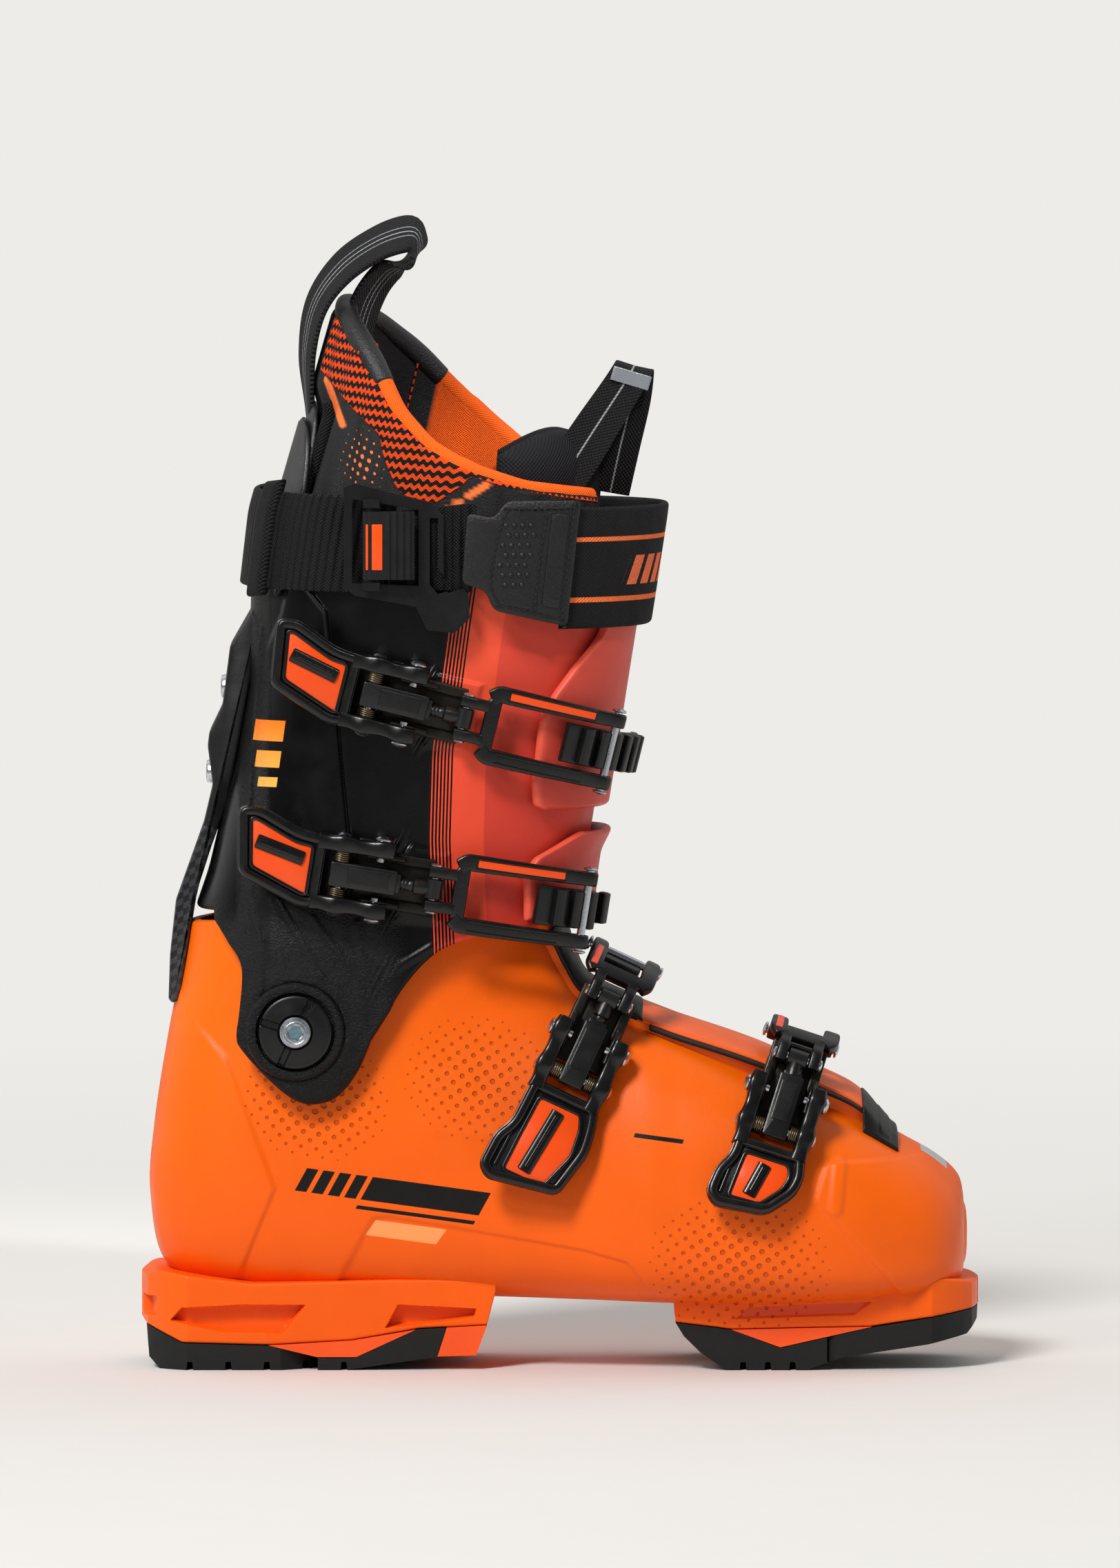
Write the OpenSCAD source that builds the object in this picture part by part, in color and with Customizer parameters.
// Alpine ski boot, right foot: four-buckle overlap shell, hinged cuff, power strap and removable liner.
// Millimetres. +X points to the toe, +Z up, -Y is the outer (buckle) side.
// The origin is the mid-sole mark: half way along the sole, on its centre line, at ground level.

/* [Sole] */
// Boot sole length, from the heel lug's end to the toe lug's end
sole_length = 305; // [303:0.5:307]
// Width of the toe lug
toe_lug_w = 69; // [67:0.5:71]
// Width of the heel lug
heel_lug_w = 68; // [66:0.5:70]
// Height of the toe lug's top ledge above the ground
toe_ledge_z = 32; // [31:0.5:33]
// Height of the heel lug's top ledge above the ground
heel_ledge_z = 33; // [32:0.5:34]
// Depth of the grooves across the treads
groove_depth = 3; // [2:0.5:4]

/* [Shells] */
// Wall thickness of the lower shell
shell_wall = 4.5; // [3.5:0.5:5]
// Wall thickness of the cuff
cuff_wall = 4; // [3:0.5:4.5]
// Foam thickness of the liner
liner_wall = 7; // [5:0.5:8]
// Radius of the cuff's pivot sleeves
pivot_r = 6; // [5:0.5:7]

/* [Buckles] */
// Radius of the steel pins of a buckle
pin_r = 1.5; // [1.2:0.1:1.6]
// Thickness of a bail
bail_t = 3.2; // [2.8:0.1:3.6]

/* [Power strap] */
// Width of the power strap
strap_w = 44; // [40:1:46]

/* [Hidden] */

black = "#17181a";
orange = "#f26a0c";
vivid = "#f4470c";
coral = "#e2553f";
steel = "#b9bcc2";

k = sole_length / 305;       // stretch of what follows the sole's length
toe_x = sole_length / 2;
heel_x = -sole_length / 2;
pivot = [-95.8, 124.4];      // the cuff's pivot axis, in X and Z
run = 0.05;                  // radial running clearance of a pin in its bore
gap = 1;                     // room between a layer and its neighbour

// ---------- curves and skins ----------

function spow(v, p) = sign(v) * pow(abs(v), p);
function smooth(e0, e1, v) = let (t = max(0, min(1, (v - e0) / (e1 - e0)))) t * t * (3 - 2 * t);

// A Catmull-Rom curve through a list of vectors; s runs from 0 to len - 1
function through(list, s) =
  let (n = len(list) - 1, i = min(floor(s), n - 1), t = s - i,
       a = list[max(i - 1, 0)], b = list[i], c = list[i + 1], d = list[min(i + 2, n)])
  0.5 * (2 * b + (c - a) * t + (2 * a - 5 * b + 4 * c - d) * t * t + (3 * b - a - 3 * c + d) * t * t * t);

// A table of [key, value...] rows with rising keys, read at any key along straight lines
function read(rows, key, i = 0) =
  i >= len(rows) - 2 || key <= rows[i + 1][0]
    ? let (t = max(0, min(1, (key - rows[i][0]) / (rows[i + 1][0] - rows[i][0]))))
      rows[i] + (rows[i + 1] - rows[i]) * t
    : read(rows, key, i + 1);

function quads(rows, cols, off, ring, flip) = [
  for (i = [0:rows - 2], j = [0:ring ? cols - 1 : cols - 2])
    let (a = off + i * cols + j, b = off + i * cols + (j + 1) % cols,
         c = off + (i + 1) * cols + (j + 1) % cols, d = off + (i + 1) * cols + j)
    each flip ? [[a, b, c], [a, c, d]] : [[a, c, b], [a, d, c]]
];

function flat_list(grid) = [for (row = grid) each row];

// A closed solid between an outer and an inner grid of points, both rows x cols.
// A ring grid closes on itself along its rows; an open one gets end walls.
module skin(outer, inner, ring = false) {
  rows = len(outer);
  cols = len(outer[0]);
  n = rows * cols;
  last = (rows - 1) * cols;
  rim = [for (j = [0:ring ? cols - 1 : cols - 2]) let (q = (j + 1) % cols)
    each [[j, q, n + q], [j, n + q, n + j],
          [last + q, last + j, n + last + j], [last + q, n + last + j, n + last + q]]];
  ends = ring ? [] : [for (i = [0:rows - 2])
    let (a = i * cols, b = a + cols, c = a + cols - 1, d = b + cols - 1)
    each [[b, a, n + a], [b, n + a, n + b], [c, d, n + d], [c, n + d, n + c]]];
  polyhedron(concat(flat_list(outer), flat_list(inner)),
    concat(quads(rows, cols, 0, ring, false), quads(rows, cols, n, ring, true), rim, ends));
}

// A closed solid between two ring grids joined at their last rows, each with a cap at its first row
module pocket(outer, inner) {
  cols = len(outer[0]);
  ro = len(outer);
  ri = len(inner);
  n = ro * cols;
  a = (ro - 1) * cols;
  b = n + (ri - 1) * cols;
  rim = [for (j = [0:cols - 1]) let (q = (j + 1) % cols)
    each [[a + q, a + j, b + j], [a + q, b + j, b + q]]];
  polyhedron(concat(flat_list(outer), flat_list(inner)),
    concat(quads(ro, cols, 0, true, false), quads(ri, cols, n, true, true), rim,
           [[for (j = [0:cols - 1]) j]], [[for (j = [cols - 1:-1:0]) n + j]]));
}

// Insets a convex outline, given anticlockwise, by d
function inset(p, d) = let (n = len(p)) [
  for (i = [0:n - 1])
    let (a = p[(i + n - 1) % n], b = p[i], c = p[(i + 1) % n],
         u = (b - a) / norm(b - a), v = (c - b) / norm(c - b),
         m = [-u[1] - v[1], u[0] + v[0]])
    b + m * d / (1 + u * v)
];

// A prism along Y from an outline in X and Z
module side_prism(points, w) {
  rotate([90, 0, 0]) linear_extrude(w, center = true) polygon(points);
}

// A round bar along Y, from y0 to y1
module bar_y(r, y0, y1) {
  translate([0, y1, 0]) rotate([90, 0, 0]) cylinder(r = r, h = y1 - y0, $fn = 32);
}

module both_sides() {
  for (s = [-1, 1]) scale([1, s, 1]) children();
}

// ---------- lower shell ----------

// Sections fan round the instep from the toe to the ankle: [top x, top z, sole x, sole z, half width,
// share of the depth where it is widest, squareness above, squareness below, sideways shift]
shell_stations = [
  [147.5, 58, 147.5, 36, 12, 0.55, 2.4, 2.4, 4],
  [145.5, 68, 145.5, 30, 26, 0.60, 2.5, 3.0, 4],
  [137.0, 76, 138.0, 27, 37, 0.66, 2.5, 3.2, 3],
  [123.0, 84, 123.0, 25, 44.5, 0.70, 2.6, 3.4, 1],
  [104.0, 95.5, 104.0, 24, 49, 0.70, 2.7, 3.6, -1],
  [78.0, 107, 78.0, 23, 51.5, 0.70, 2.7, 3.6, -2],
  [48.0, 121, 44.0, 23, 51, 0.70, 2.6, 3.4, -2],
  [24.0, 130.5, 8.0, 24, 47.5, 0.68, 2.5, 3.2, -1],
  [9.0, 138, -30.0, 25, 44, 0.64, 2.6, 3.2, 0],
  [3.0, 148, -75.0, 26, 41, 0.62, 2.7, 3.2, 0],
  [0.0, 156, -118.0, 27, 39.5, 0.60, 2.8, 3.0, 0],
  [-2.0, 161, -143.0, 36, 39, 0.58, 2.8, 2.6, 0],
  [-4.0, 164, -149.5, 62, 38.5, 0.56, 2.8, 2.5, 0],
  [-6.0, 167, -148.0, 88, 38.5, 0.55, 2.8, 2.4, 0],
  [-8.0, 170, -143.0, 120, 38, 0.55, 2.8, 2.3, 0],
  [-10.0, 173, -137.5, 148, 37.5, 0.55, 2.8, 2.3, 0],
  [-11.0, 175, -135.5, 161, 37, 0.55, 2.8, 2.3, 0]
];
flap_rise = 2.6;   // how far the overlapping flap stands above the shell under it

// One section, pulled in by an inset all round and by a further lift at its sole end
function shell_station(s, in, lift) =
  let (v = through(shell_stations, s), top = [v[0] * k, v[1]], low = [v[2] * k, v[3]],
       len = norm(low - top), d = (low - top) / len, more = lift * (1 - smooth(9.5, 11.5, s)),
       up = in + more, share = v[5] * (len - 2 * in) / (len - 2 * in - more))
  [top[0] + d[0] * in, top[1] + d[1] * in, low[0] - d[0] * up, low[1] - d[1] * up,
   v[4] - in, share, v[6], v[7], v[8]];

// Angle 0 is the instep ridge, 90 the inner side, 180 the sole or heel, 270 the outer side
function section_point(v, ang) =
  let (c = cos(ang), s = sin(ang), n = c >= 0 ? v[6] : v[7], len = norm([v[2] - v[0], v[3] - v[1]]),
       a = c >= 0 ? v[5] * (1 - pow(c, 2 / n)) : v[5] + (1 - v[5]) * pow(-c, 2 / n))
  [v[0] + (v[2] - v[0]) * a, v[8] + v[4] * spow(s, 2 / n), v[1] + (v[3] - v[1]) * a];

// The overlapping flap steps up just past the ridge on the outer side and fades out on the inner side
function flap(s, ang) =
  flap_rise * smooth(3.2, 4, s) * (ang < 180 ? 1 - smooth(20, 75, ang) : smooth(333, 336, ang));

ring_angles = [for (a = [0:10:320]) a, 328, 333, 336, 342, 350];

function shell_ring(s, in, lift = 0) = [
  for (a = ring_angles)
    section_point(shell_station(s, in == 0 ? -flap(s, a) : in, lift), a)
];

function steps(from, to, step) = [for (s = [from:step:to - step / 2]) s, to];

toe_side = [[toe_x - 111, 21.5], [toe_x - 110.5, 17.5], [toe_x - 90.5, 15], [toe_x - 39, 16.1],
            [toe_x, 22], [toe_x, toe_ledge_z], [toe_x - 111, toe_ledge_z]];
heel_side = [[heel_x, 17.5], [heel_x + 2, 16], [heel_x + 15, 10], [heel_x + 46, 9.2], [heel_x + 77, 11],
             [heel_x + 101, 15.2], [heel_x + 126, 16.5], [heel_x + 129, 28], [heel_x + 129, heel_ledge_z],
             [heel_x, heel_ledge_z]];

// A lug's plan: straight sides, and an end rounded at its corners; s is the end's direction
module lug_plan(end, s, len, w, corner_r) {
  intersection() {
    translate([end - s * len / 2, 0]) square([len, w], center = true);
    union() {
      translate([end - s * w / 2, 0]) circle(w / 2 + corner_r, $fn = 64);
      translate([end - s * len, 0]) square([len, w], center = true);
    }
    translate([end - s * 90, 0]) circle(90, $fn = 96);
  }
}

module lug(side, end, s, len, w) {
  intersection() {
    side_prism(side, w);
    linear_extrude(45) lug_plan(end, s, len, w, 4);
  }
}

// The cuff's two pivot bosses stand on the shell's sides
shell_boss_y = 41.3;

module lower_shell() {
  color(orange)
    difference() {
      union() {
        pocket([for (s = steps(0, 16, 0.7)) shell_ring(s, 0)],
               [for (s = steps(0.9, 16, 1.2)) shell_ring(s, shell_wall)]);
        difference() {
          union() {
            lug(toe_side, toe_x, 1, 111, toe_lug_w);
            lug(heel_side, heel_x, -1, 129, heel_lug_w);
          }
          heel_slots();
        }
        for (y = [-1, 1]) at_pivot() bar_y(15, min(y * shell_boss_y, y * 35), max(y * shell_boss_y, y * 35));
      }
      at_pivot() bar_y(pivot_r + run, -60, 60);
      at_sole_screws() screw_hole(screw_r);
    }
}

screw_r = 2;
head_r = 4.4;
head_z = 9.5;   // the seat of the sole screws' heads

// Slots moulded into both sides of the heel block
module heel_slots() {
  both_sides() translate([0, heel_lug_w / 2, 0]) {
    side_prism([[heel_x + 12, 14], [heel_x + 60, 14.5], [heel_x + 66, 22.5], [heel_x + 20, 22.5]], 9);
    side_prism([[heel_x + 90, 17], [heel_x + 120, 20], [heel_x + 121, 23.5], [heel_x + 96, 23.5]], 9);
  }
}

module at_pivot() {
  translate([pivot[0], 0, pivot[1]]) children();
}

module at_sole_screws() {
  for (x = [toe_x - 34, toe_x - 72, heel_x + 24, heel_x + 92], y = [-19, 19])
    translate([x, y, 0]) children();
}

// A strip of a given thickness laid over the shell between two sections and two angles
module shell_patch(s0, s1, a0, a1, lo, hi, n) {
  rows = steps(s0, s1, (s1 - s0) / n);
  cols = steps(a0, a1, (a1 - a0) / 8);
  skin([for (s = rows) [for (a = cols) patch_point(s, a, hi)]],
       [for (s = rows) [for (a = cols) patch_point(s, a, lo)]]);
}

function patch_point(s, a, out) =
  let (w = (a + 360) % 360) section_point(shell_station(s, -flap_rise * smooth(3.2, 4, s) - out, 0), w);

module overlap_gasket() {
  color(black) shell_patch(6.2, 10.4, -24, 14, 0.4, 2.2, 8);
}

module toe_cap() {
  color(black) shell_patch(3.0, 4.1, -26, 26, 0.9, 2.6, 3);
}

// ---------- sole ----------

heel_plate_side = [[heel_x + 46.6, 9], [heel_x + 64.1, 4.8], [heel_x + 78.5, 4.8], [heel_x + 100, 14.7],
                   [heel_x + 77, 10.8]];
heel_front_side = [[heel_x + 108, 5], [heel_x + 122, 5.4], [heel_x + 126, 16.3], [heel_x + 111.4, 15.5]];
heel_core_side = [[heel_x + 70, 7], [heel_x + 122, 8.5], [heel_x + 125, 16.2], [heel_x + 101, 15],
                  [heel_x + 77, 10.8], [heel_x + 70, 10.3]];
heel_tread_side = [[heel_x + 3, 4], [heel_x + 7, 0], [heel_x + 74.5, 0], [heel_x + 107.7, 4.8],
                   [heel_x + 111.2, 15.4], [heel_x + 101, 15], [heel_x + 78.5, 4.6], [heel_x + 64, 4.6],
                   [heel_x + 46.4, 8.9], [heel_x + 15, 9.8], [heel_x + 2, 15.8]];
toe_plate_side = [[toe_x - 90.2, 14.8], [toe_x - 72.5, 8.4], [toe_x - 39.2, 15.9]];
toe_tread_side = [[toe_x - 110.5, 17.3], [toe_x - 107.5, 12.4], [toe_x - 101.5, 6.5], [toe_x - 92, 0],
                  [toe_x - 63, 0], [toe_x - 50.5, 4.6], [toe_x - 19.5, 9.3], [toe_x - 4.5, 12.5],
                  [toe_x - 0.5, 17], [toe_x - 0.2, 21.8], [toe_x - 39, 15.7], [toe_x - 72.5, 8.1],
                  [toe_x - 90.4, 14.8]];
core_w = 46;   // width of the heel plate's core, which the tread is wrapped round

module heel_sole_plate() {
  color(vivid)
    difference() {
      union() {
        side_prism(heel_core_side, core_w);
        side_prism(heel_plate_side, heel_lug_w);
        side_prism(heel_front_side, heel_lug_w);
      }
      at_sole_screws() screw_hole(screw_r + 0.1);
    }
}

module tread(side, end, s, len, w, first, pitch, count) {
  difference() {
    lug(side, end, s, len, w);
    for (i = [0:count - 1]) translate([first + i * pitch, 0, 0]) {
      side_prism([[-1.4, -1], [1.4, -1], [0.9, groove_depth], [-0.9, groove_depth]], w + 2);
    }
    at_sole_screws() cylinder(r = head_r, h = 40, $fn = 32);
  }
}

module heel_tread() {
  color(black)
    difference() {
      tread(heel_tread_side, heel_x, -1, 129, heel_lug_w, heel_x + 18, 14, 5);
      side_prism([[heel_x + 69.7, 6.7], [heel_x + 122, 8.2], [heel_x + 122, 20], [heel_x + 69.7, 20]],
        core_w + 0.6);
    }
}

module toe_sole_plate() {
  color(vivid)
    difference() {
      side_prism(toe_plate_side, toe_lug_w);
      at_sole_screws() screw_hole(screw_r + 0.1);
    }
}

module toe_tread() {
  color(black)
    tread(toe_tread_side, toe_x, 1, 111, toe_lug_w, toe_x - 86, 9, 3);
}

// Screws come up through the plates into the lugs, with their heads sunk in the treads
module sole_screws() {
  color(steel)
    at_sole_screws() difference() {
      union() {
        translate([0, 0, head_z - 2.4]) cylinder(r = head_r - 0.3, h = 2.3, $fn = 32);
        translate([0, 0, head_z - 1]) cylinder(r = screw_r - run, h = 24 - head_z, $fn = 24);
      }
      translate([0, 0, head_z - 3]) cylinder(r = 2, h = 1.8, $fn = 6);
    }
}

// The hole for one sole screw: a shank hole, widened below the head's seat
module screw_hole(r) {
  cylinder(r = r, h = 40, $fn = 24);
  cylinder(r = head_r, h = head_z, $fn = 32);
}

// A sprung board levels the floor of the shell under the liner
board_z = [33.4, 37.5];

module foot_plan(heel_r, ball_r) {
  hull() {
    translate([-108, 0]) circle(heel_r, $fn = 32);
    translate([60, -2]) circle(ball_r, $fn = 32);
    translate([92, 2]) circle(ball_r - 4, $fn = 32);
  }
}

module boot_board() {
  color("#2b2c2e")
    difference() {
      translate([0, 0, board_z[0]]) linear_extrude(board_z[1] - board_z[0]) foot_plan(15, 23);
      at_sole_screws() cylinder(r = 5, h = 60, $fn = 24);
    }
}

// ---------- cuff ----------

// The cuff's plan at a height: [z, rear x, front x, half width, squareness]
cuff_levels = [
  [90, -150, 22, 47.8, 3.7],
  [125, -146, 16, 47.8, 3.7],
  [150, -138, 8, 47.2, 3.3],
  [165, -133.5, 7.5, 46.6, 2.9],
  [181, -128, 9, 46.6, 2.8],
  [200, -123.5, 12, 47, 2.7],
  [222, -118, 15.6, 47.6, 2.7],
  [248, -113.5, 19.6, 48.6, 2.6],
  [282, -112.5, 25, 50.4, 2.5],
  [312, -109, 29.5, 52, 2.4],
  [350, -98, 32, 51, 2.3],
  [395, -85, 33, 46, 2.2]
];

// A point at a height and angle (0 is the shin, 90 the inner side), moved out from the cuff's surface
function cuff_point(z, ang, out) =
  let (v = read(cuff_levels, z), mid = (v[1] + v[2]) / 2, n = v[4])
  [mid + ((v[2] - v[1]) / 2 + out) * spow(cos(ang), 2 / n), (v[3] + out) * spow(sin(ang), 2 / n), z];

// The lower edge, by angle from the shin: low lobes round the pivots, a gap over the heel
cuff_lower_edge = [
  [0, 165.5], [40, 164], [56, 160.5], [76, 157.5], [86, 152], [94, 139], [99, 124], [103, 109], [110, 101.5],
  [118, 99], [126, 101], [132, 106], [137, 114], [139.5, 149], [146, 158], [150, 166.5], [180, 167]
];
cuff_upper_edge = [[0, 298], [60, 299], [120, 306], [180, 312]];
flap_end = -58;       // where the outer flap ends, past the shin on the outer side
flap_lift = 5.2;      // how far the outer flap stands off

function side_angle(a) = abs(a > 180 ? 360 - a : a);

// The outer flap's free edge sweeps forward to the shin near its top
function cuff_start(z) = flap_end + 50 * smooth(236, 272, z);

cuff_angles = [-58, -48, -38, -28, -18, -9, 0, 12, 24, 36, 48, 60, 70, 79, 86, 92, 98, 103, 110, 118,
               126, 132, 136.5, 139.5, 146, 150, 158, 169, 180, 191, 202, 210, 214, 220.5, 223.5, 228,
               234, 242, 250, 257, 262, 268, 274,
               281, 290, 300, 311, 322, 332, 342, 352];

function cuff_grid(in) = [
  for (t = [0:0.125:1]) [
    for (a = cuff_angles)
      let (side = side_angle(a), lo = read(cuff_lower_edge, side)[1], hi = read(cuff_upper_edge, side)[1],
           z = lo + (hi - lo) * t,
           at = a < 0 ? a * cuff_start(z) / flap_end : a,
           lift = a < 90 ? flap_lift * (1 - smooth(25, 75, a)) : 0)
      cuff_point(z, at, lift - in)
  ]
];

cuff_boss_y = [43, 50.4];

module cuff() {
  color(black)
    difference() {
      union() {
        skin(cuff_grid(0), cuff_grid(cuff_wall));
        both_sides() at_pivot() bar_y(18, cuff_boss_y[0], cuff_boss_y[1]);
      }
      at_pivot() bar_y(pivot_r + run, -60, 60);
      at_spine_screws() rotate([0, 90, 0]) cylinder(r = 3.05, h = 30, center = true, $fn = 32);
    }
}

// Pivot sleeves run in the cuff's bosses and are held in the shell by screws
module pivot_discs() {
  color(black)
    both_sides() at_pivot() difference() {
      union() {
        bar_y(pivot_r, 36, cuff_boss_y[1] + 0.5);
        bar_y(13.6, cuff_boss_y[1] + 0.2, cuff_boss_y[1] + 2);
        for (q = [0:3]) rotate([0, q * 90 + 20, 0])
          translate([6, cuff_boss_y[1] + 1, -1.1]) cube([6.8, 2, 2.2]);
      }
      bar_y(3.05, 30, 60);
    }
}

module pivot_screws() {
  color(steel)
    both_sides() at_pivot() difference() {
      union() {
        bar_y(3, 34, cuff_boss_y[1] + 2.5);
        bar_y(5.6, cuff_boss_y[1] + 2.1, cuff_boss_y[1] + 3.6);
      }
      translate([0, cuff_boss_y[1] + 1.6, 0]) rotate([-90, 0, 0]) cylinder(r = 2.9, h = 3, $fn = 6);
    }
}

// A stiff plate bridges the gap behind the heel: it hangs from the cuff's back
spine_out = [[-112.5, 276], [-117, 268], [-121, 255], [-124.2, 241], [-126.5, 232], [-129.5, 222],
             [-129.5, 214], [-134.5, 194], [-144, 168], [-145.6, 160], [-146, 136], [-144, 132]];
spine_in = [[-142, 132], [-140.6, 150], [-139.2, 166], [-134.6, 178], [-129, 197], [-126.5, 204],
            [-122, 211], [-119.4, 222], [-116.6, 236], [-114.8, 248], [-114.4, 270]];
spine_seat = 8.2;      // from the cuff's back to the seats of the plate's screws

module rear_spine() {
  color("#202124")
    difference() {
      side_prism(concat([for (p = spine_out) p - [0.4, 0]], [for (p = spine_in) p - [0.8, 0]]), 40);
      at_spine_screws() rotate([0, 90, 0]) cylinder(r = 3.05, h = 30, center = true, $fn = 32);
      at_spine_screws() rotate([0, -90, 0]) translate([0, 0, spine_seat]) cylinder(r = 6.6, h = 20, $fn = 32);
      for (s = [-1, 1])
        translate([-140, s * 24, 190]) rotate([s * 6, 0, 0]) cube([60, 18, 180], center = true);
    }
}

module at_spine_screws() {
  for (z = [214, 246]) let (x = cuff_point(z, 180, 0)[0]) translate([x, 0, z]) children();
}

module spine_screws() {
  color(steel)
    at_spine_screws() rotate([0, -90, 0]) {
      translate([0, 0, -cuff_wall + 0.5]) cylinder(r = 3, h = cuff_wall + spine_seat, $fn = 32);
      translate([0, 0, spine_seat + 0.1]) cylinder(r = 6, h = 2.4, $fn = 32);
    }
}

// A grid on the cuff's form between two angles and two heights, made solid between two offsets
module cuff_arc(a0, a1, da, z0, z1, dz, lo, hi) {
  rows = steps(z0, z1, dz);
  cols = steps(a0, a1, da);
  skin([for (z = rows) [for (a = cols) cuff_point(z, a, hi)]],
       [for (z = rows) [for (a = cols) cuff_point(z, a, lo)]]);
}

module rear_spoiler() {
  color("#3a3b3e") {
    cuff_arc(150, 210, 10, 262, 344, 20, -cuff_wall - 2.6, -cuff_wall - 0.6);
    cuff_arc(155, 205, 10, 255, 350, 20, -cuff_wall - 5.2, -cuff_wall - 3.1);
  }
}

// ---------- liner ----------

liner_split_z = 186;   // height at which the liner's foot meets its cuff, hidden inside the shells
liner_clear = 6.2;     // from the cuff's outer surface to the liner
floor_lift = board_z[1] - 26.5;   // how far the board lifts the liner off the shell's floor

module liner_foot() {
  color(black)
    pocket([for (s = [1, for (i = [1:12]) 0.9 + i * 1.2]) shell_ring(s, shell_wall + gap, floor_lift)],
           [for (s = steps(1.5, 15.3, 1.5)) shell_ring(s, shell_wall + gap + liner_wall, floor_lift)]);
}

module footbed() {
  color(vivid)
    translate([0, 0, board_z[1] + 11.5]) linear_extrude(3) foot_plan(11, 17);
}

// The collar's top edge, by angle from the shin: high behind the calf, low beside the tongue
liner_upper_edge = [[0, 318], [34, 321], [60, 329], [86, 343], [112, 360], [140, 378], [180, 386]];
inner_rise = 20;       // how much higher the collar stands on the inner side
liner_angles = steps(36, 324, 12);

function liner_grid(in) = [
  for (t = [0:0.1:1]) [
    for (a = liner_angles)
      let (rise = a < 180 ? inner_rise * smooth(30, 70, a) * (1 - smooth(110, 150, a)) : 0,
           hi = read(liner_upper_edge, side_angle(a))[1] + rise, z = liner_split_z + (hi - liner_split_z) * t,
           slim = a > 140 && a < 220 ? 5.6 * (1 - smooth(345, 360, z)) : 0)
      cuff_point(z, a, -liner_clear - in - slim)
  ]
];

module liner_cuff() {
  color(black) skin(liner_grid(0), liner_grid(liner_wall));
}

module liner_tongue() {
  color(black)
    cuff_arc(-62, 62, 11, liner_split_z + 4, 340, 24,
      -liner_clear - 2 * liner_wall - 3, -liner_clear - liner_wall - gap);
}

// Webbing loops for pulling the boot on, as flat bands on edge
loop_w = 20;

function path_normal(path, i) =
  let (u = path[min(i + 1, len(path) - 1)] - path[max(i - 1, 0)]) [-u[1], u[0]] / norm(u);

module band_loop(path, t, w) {
  left = [for (i = [0:len(path) - 1])
    path[i] + path_normal(path, i) * t / 2];
  right = [for (i = [len(path) - 1:-1:0])
    path[i] - path_normal(path, i) * t / 2];
  side_prism(concat(left, right), w);
}

module rear_pull_loop() {
  color(black)
    band_loop([[-97, 352], [-94, 375], [-91, 390], [-82, 402], [-70, 410], [-53, 414.5], [-52, 401],
               [-62, 397], [-69, 388], [-73, 374], [-74, 362]], 2, loop_w);
}

module tongue_pull_loop() {
  color(black)
    translate([0, -4, 0])
      band_loop([[6, 343], [14, 352], [23, 362.5], [34, 359], [31, 349], [26, 341]], 2, loop_w);
}

// ---------- power strap ----------

strap_z = [271, 271 + strap_w];
strap_out = 7.2;       // from the cuff's outer surface to the strap

module strap_band() {
  color(black)
    cuff_arc(-67, 96, 9, strap_z[0], strap_z[1] - 1, 11, strap_out, strap_out + 2.2);
}

module strap_webbing() {
  color(black)
    cuff_arc(99, 243, 9, strap_z[0] + 8, strap_z[1] + 5, 10, 2, 4.2);
}

strap_plane = -57;     // the inner face of the strap's hook frame
strap_hinge = [-68, strap_plane - 5.8];

module in_strap_plane() {
  translate([0, strap_plane, 0]) rotate([90, 0, 0]) children();
}

// A frame with a C-shaped hook that catches the strap's tab
module strap_hook_frame() {
  color(black)
    difference() {
      union() {
        in_strap_plane() linear_extrude(2.6) difference() {
          polygon([[-78, 322], [-74, 323.5], [-46, 316.5], [-42, 312], [-42, 291], [-40.5, 284],
                   [-35, 285.5], [-33, 283], [-32.5, 275], [-38, 269.5], [-48, 270.5], [-52, 279],
                   [-74, 283], [-78, 286]]);
          polygon([[-75, 318], [-75, 287.5], [-51, 286.5], [-51, 314]]);
          polygon([[-47, 311], [-47, 287], [-44, 283.5], [-38.5, 285.2], [-44, 293], [-44, 311]]);
        }
        for (z = [285, 314.9]) translate([strap_hinge[0] - 3, strap_hinge[1] - 3, z]) cube([6, 6.2, 3]);
      }
      translate([strap_hinge[0], strap_hinge[1], 275]) cylinder(r = pin_r + run, h = 60, $fn = 32);
    }
}

// The ribbed cam lever clamps the webbing and flips open to free it
module strap_cam_lever() {
  color(black)
    translate([strap_hinge[0], strap_hinge[1], 0]) {
      translate([0, 0, 285]) cylinder(r = pin_r, h = 32.9, $fn = 32);
      difference() {
        union() {
          translate([0, 0, 289]) cylinder(r = 3.2, h = 24.6, $fn = 32);
          translate([0, -3.2, 289]) cube([15.5, 3.4, 24.6]);
        }
        for (i = [0:3]) translate([6.6 + i * 2.5, -4, 288]) cube([1, 1.5, 30]);
      }
    }
}

// ---------- buckles ----------

// Each buckle works in its own plane: X along it towards the teeth, Y along its pins, Z away from the
// boot, with the lever's fixed pivot at the origin.
// Lever outlines, from the outer corner behind the pivot round the tail
cuff_lever = [[-50.4, -5.5], [-27, -14], [-20, -13.2], [-20, 13.2], [-30, 14], [-37, 16.8],
              [-46, 20.5], [-54, 19]];
instep_lever = [[-56, -14], [-44, -17], [-28, -15.7], [-20, -13.2], [-20, 13.2], [-46, 15], [-57, 15.5],
                [-61, 11.5]];
toe_lever = [[-45, -7], [-36, -13.5], [-27, -15.2], [-20, -13.2], [-20, 13.2], [-30, 13.2], [-43, 16],
             [-48.5, 12.4]];

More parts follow.
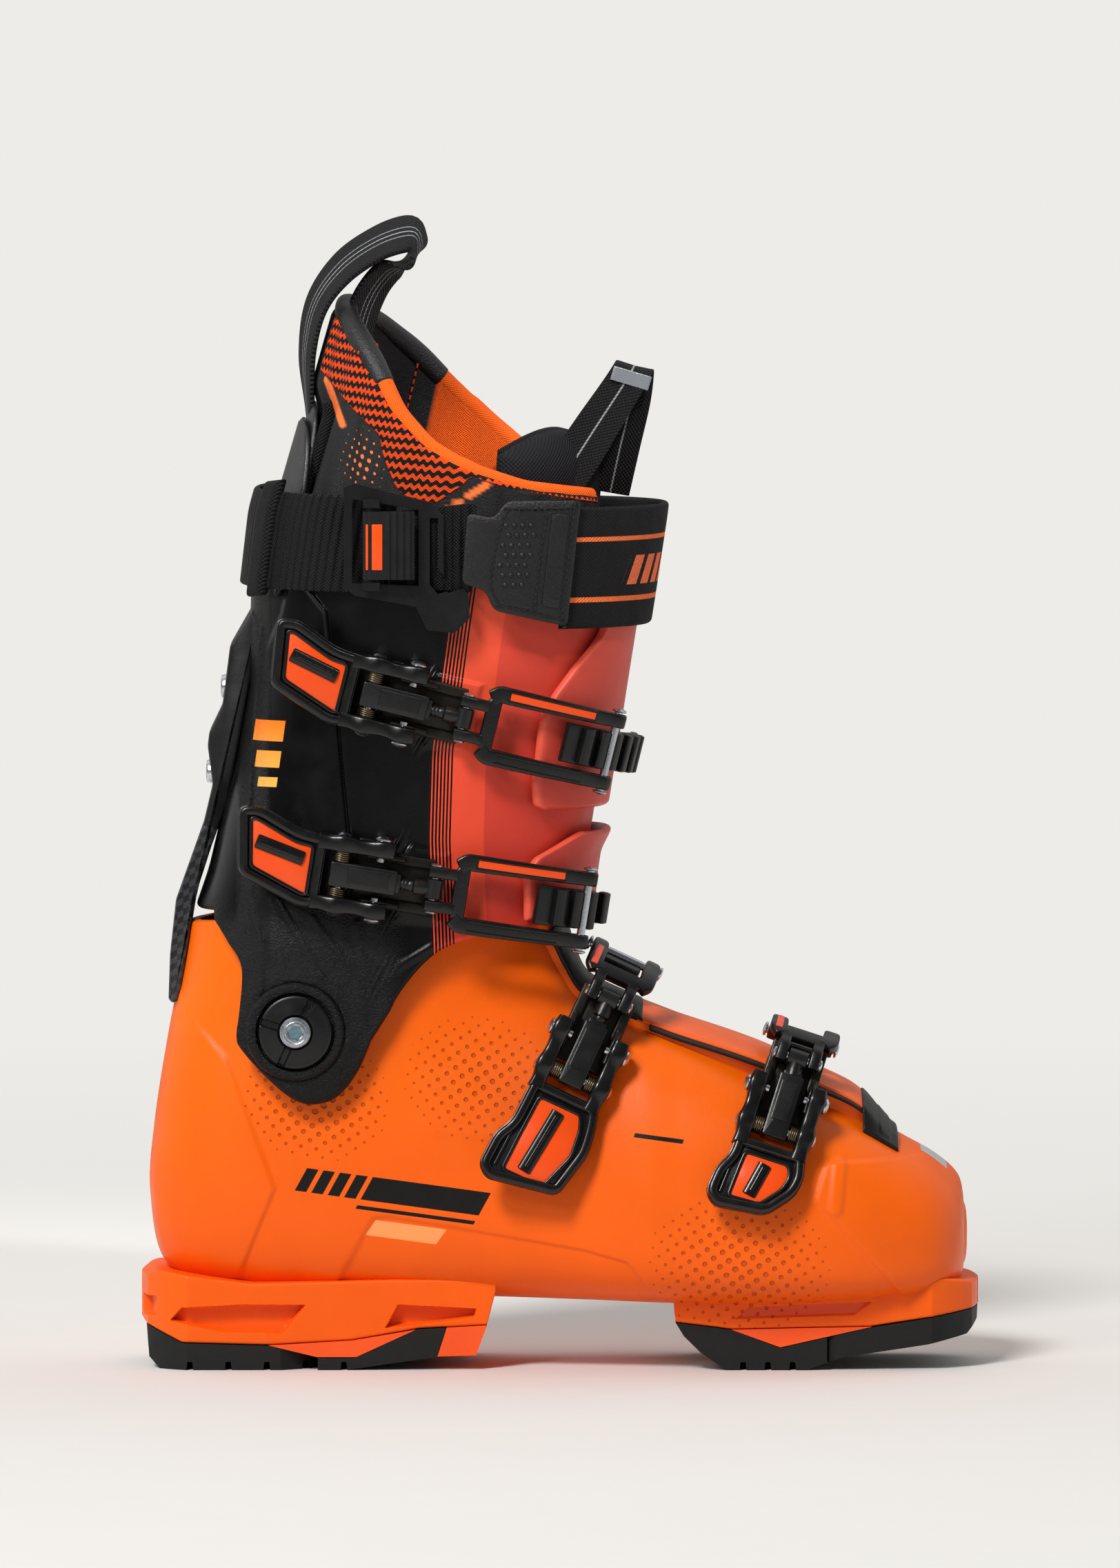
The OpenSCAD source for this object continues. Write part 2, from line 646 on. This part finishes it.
// [name, pivot, slope of X, roll towards the boot, lever outline, eye, bail radius, bail sweep,
//  bail half width, ladder's lean, ladder radius, tooth crest above the crossbar, ladder depth]
shin = ["shin", [-54.6, -56.7, 243.6], -14, 0, cuff_lever, 20.4, 92.6, 35.9, 14.6, 51.5, 52, 0.5, 6];
ankle = ["ankle", [-65.9, -54.3, 179.8], -9, 0, cuff_lever, 20.4, 117, 28.2, 14.6, 46.4, 54, 0.5, 6];
instep = ["instep", [10.4, -45.2, 120.3], 65, 12, instep_lever, 17.5, 19.8, 101, 13.4, 60, 30, -0.2, 9.6];
toe = ["toe", [82, -46.5, 101.5], 72, 20, toe_lever, 14, 15.8, 118, 12.9, 54, 28, -0.2, 9.1];

function eye(b) = b[5];
function bail_r(b) = b[6];
function bail_sweep(b) = b[7];
function bail_w(b) = b[8];
function arc_deg(b, len) = len / bail_r(b) * 180 / PI;
function crossbar(b) = [eye(b) + bail_r(b) * sin(bail_sweep(b)), bail_r(b) * (cos(bail_sweep(b)) - 1)];

module at_buckle(b) {
  translate(b[1]) rotate([0, -b[2], 0]) rotate([90, 0, 0]) rotate([0, b[3], 0]) children();
}

ear_y = [7.3, 9.7];       // the base's ears
arm_y = [9.9, 13.1];      // the lever's arms
adjuster_w = 9;
sleeve_x = -14;           // the adjuster's pin, behind the lever's pivot
head_h = 1.3;             // thickness of a pin's head
base_drop = 7.4;          // from the lever's pivot down to the base's underside
open_w = 14;              // the slot that the adjuster passes through

// An upright cheek across Y with a round end about the origin
module cheek(y, r, outline) {
  translate([0, y[1], 0]) rotate([90, 0, 0]) linear_extrude(y[1] - y[0]) union() {
    circle(r, $fn = 48);
    polygon(outline);
  }
}

module buckle_base(b) {
  color(black)
    at_buckle(b) {
      difference() {
        union() {
          translate([-6, -10, -base_drop]) cube([24, 20, 2]);
          both_sides() cheek(ear_y, 4.2, [[-5, -base_drop + 1], [6, -base_drop + 1], [4.2, 0], [-4.2, 0]]);
          translate([13, 0, -base_drop + 1]) cylinder(r = 2.6, h = 1.8, $fn = 32);
        }
        bar_y(pin_r + run, -20, 20);
      }
      both_sides() {
        bar_y(pin_r, 6.6, arm_y[1] + head_h);
        bar_y(3, arm_y[1] + 0.15, arm_y[1] + 0.15 + head_h);
      }
    }
}

module buckle_lever(b) {
  out = b[4];
  color(black)
    at_buckle(b)
      difference() {
        union() {
          translate([0, 0, -1]) linear_extrude(3) polygon(out);
          translate([0, 0, 1.5]) linear_extrude(2.3) difference() {
            polygon(inset(out, 0.9));
            polygon(inset(out, 4.4));
          }
          both_sides() cheek(arm_y, 4.8,
            [[-22, -2.5], [0, -4.4], [0, 4.6], [-9, 3.4], [-13, 4.6], [-17, 3.4], [-22, 3]]);
        }
        translate([0, 0, 0.6]) linear_extrude(6) polygon(inset(out, 4.4));
        translate([-24.5, -open_w / 2, -3]) cube([12, open_w, 12]);
        bar_y(pin_r + run, -20, 20);
        translate([sleeve_x, 0, 0]) bar_y(pin_r, -20, 20);
      }
}

// The lever's coloured insert, with a raised grip bar
module buckle_insert(b) {
  bar = [-36, b[4][0][0] + 12];
  color(vivid)
    at_buckle(b) {
      difference() {
        translate([0, 0, 0.65]) linear_extrude(1.6) polygon(inset(b[4], 4.6));
        translate([-25, -open_w / 2 - 0.4, -1]) cube([12, open_w + 0.8, 6]);
      }
      translate([0, 1.4, 2]) linear_extrude(1.4) union() {
        for (x = [bar[0] + 4, bar[1]]) translate([x, 0]) circle(1.9, $fn = 32);
        translate([min(bar[0] + 4, bar[1]), -1.9]) square([abs(bar[0] + 4 - bar[1]), 3.8]);
      }
    }
}

// Two coil springs ride on the adjuster's pin, one on each side of it
module buckle_springs(b) {
  wire = 0.6;
  color(steel)
    at_buckle(b) translate([sleeve_x, 0, 0]) {
      bar_y(pin_r, -arm_y[1] - head_h, arm_y[1] + head_h);
      both_sides() {
        for (i = [0:2]) translate([0, 5.9 + i * 1.35, 0]) rotate([90, 0, 0])
          rotate_extrude($fn = 48) translate([2.7, 0]) circle(wire, $fn = 16);
        bar_y(2.4, 4.9, 9.6);
      }
    }
}

module buckle_adjuster(b) {
  color(black)
    at_buckle(b)
      difference() {
        translate([sleeve_x - 3.6, -adjuster_w / 2, -3.3]) cube([24.5, adjuster_w, 6.6]);
        translate([sleeve_x, 0, 0]) bar_y(pin_r + run, -20, 20);
        translate([-10, 0, 0]) rotate([0, 90, 0]) cylinder(r = 2.5 + run, h = 30, $fn = 32);
      }
}

module buckle_rod(b) {
  color(black)
    at_buckle(b)
      difference() {
        union() {
          translate([-9, 0, 0]) rotate([0, 90, 0]) cylinder(r = 2.5, h = eye(b) + 7, $fn = 32);
          translate([eye(b), 0, 0]) bar_y(3.4, -3.7, 3.7);
        }
        translate([eye(b), 0, 0]) bar_y(pin_r + run, -20, 20);
      }
}

// The bail bends round the boot on an arc from the rod's eye to its hooked crossbar
module bail_band(b, a0, a1, y0, y1) {
  r = bail_r(b);
  n = ceil((a1 - a0) / 20);
  translate([eye(b), y1, -r]) rotate([90, 0, 0]) linear_extrude(y1 - y0) intersection() {
    difference() {
      circle(r + bail_t / 2, $fn = 96);
      circle(r - bail_t / 2, $fn = 96);
    }
    polygon([[0, 0], for (i = [0:n]) let (a = a0 + (a1 - a0) * i / n) [2 * r * sin(a), 2 * r * cos(a)]]);
  }
}

module buckle_bail(b) {
  w = bail_w(b);
  rear = arc_deg(b, 7.2);
  c = crossbar(b);
  color(black)
    at_buckle(b)
      difference() {
        union() {
          bail_band(b, rear, rear + arc_deg(b, 5), -w, w);
          both_sides() bail_band(b, rear, bail_sweep(b), w - 5.6, w);
          both_sides() {
            bail_band(b, arc_deg(b, 0.5), rear + arc_deg(b, 1), 4, 8.2);
            translate([eye(b), 0, 0]) bar_y(3.1, 4, 8.2);
            translate([c[0], 0, c[1]]) bar_y(3, w - 5.6, w);
          }
        }
        translate([eye(b), 0, 0]) bar_y(pin_r, -30, 30);
        translate([c[0], 0, c[1]]) bar_y(pin_r, -30, 30);
      }
}

module buckle_bail_pins(b) {
  c = crossbar(b);
  w = bail_w(b);
  color(steel)
    at_buckle(b) {
      translate([eye(b), 0, 0]) bar_y(pin_r, -9, 9);
      translate([c[0], 0, c[1]]) bar_y(pin_r, -w - 0.8, w + 0.8);
    }
}

// A toothed ladder on a curved foot. The crossbar lies in one groove, and the flank that it pulls against
// leans back, so that the bar clears the tooth as the lever lets it out.
tooth_pitch = 8;
ladder_w = 14.4;

module ladder(b, behind, ahead) {
  c = crossbar(b);
  r = b[10];
  crest = b[11];
  step = tooth_pitch / r * 180 / PI;
  edge = [for (i = [-behind - 0.62, ahead + 0.35]) i * step];
  color(black)
    at_buckle(b) translate([c[0], ladder_w / 2, c[1]]) rotate([90, 0, 0]) linear_extrude(ladder_w)
      rotate(-b[9]) translate([0, -r]) {
        intersection() {
          difference() {
            circle(r - 2.2, $fn = 96);
            circle(r - b[12], $fn = 96);
          }
          polygon([[0, 0], for (a = [edge[0], (edge[0] + edge[1]) / 2, edge[1]]) 2 * r * [sin(a), cos(a)]]);
        }
        for (i = [-behind + 1:ahead + 1]) rotate(-i * step) translate([0, r])
          polygon([[-5.6, -3], [-1.7, -3], [-2.9, crest], [-5.2, crest]]);
      }
}

module cuff_ladders() {
  ladder(shin, 2, 1);
  ladder(ankle, 2, 0);
}

module shell_ladders() {
  ladder(instep, 1, 0);
  ladder(toe, 1, 0);
}

lower_shell();
overlap_gasket();
toe_cap();
boot_board();
heel_sole_plate();
heel_tread();
toe_sole_plate();
toe_tread();
sole_screws();
pivot_discs();
pivot_screws();
shell_ladders();
liner_foot();
footbed();
cuff();
rear_spine();
spine_screws();
rear_spoiler();
cuff_ladders();
liner_cuff();
liner_tongue();
rear_pull_loop();
tongue_pull_loop();
strap_band();
strap_webbing();
strap_hook_frame();
strap_cam_lever();
for (b = [toe, instep, ankle, shin]) {
  buckle_base(b);
  buckle_lever(b);
  buckle_insert(b);
  buckle_springs(b);
  buckle_adjuster(b);
  buckle_rod(b);
  buckle_bail(b);
  buckle_bail_pins(b);
}
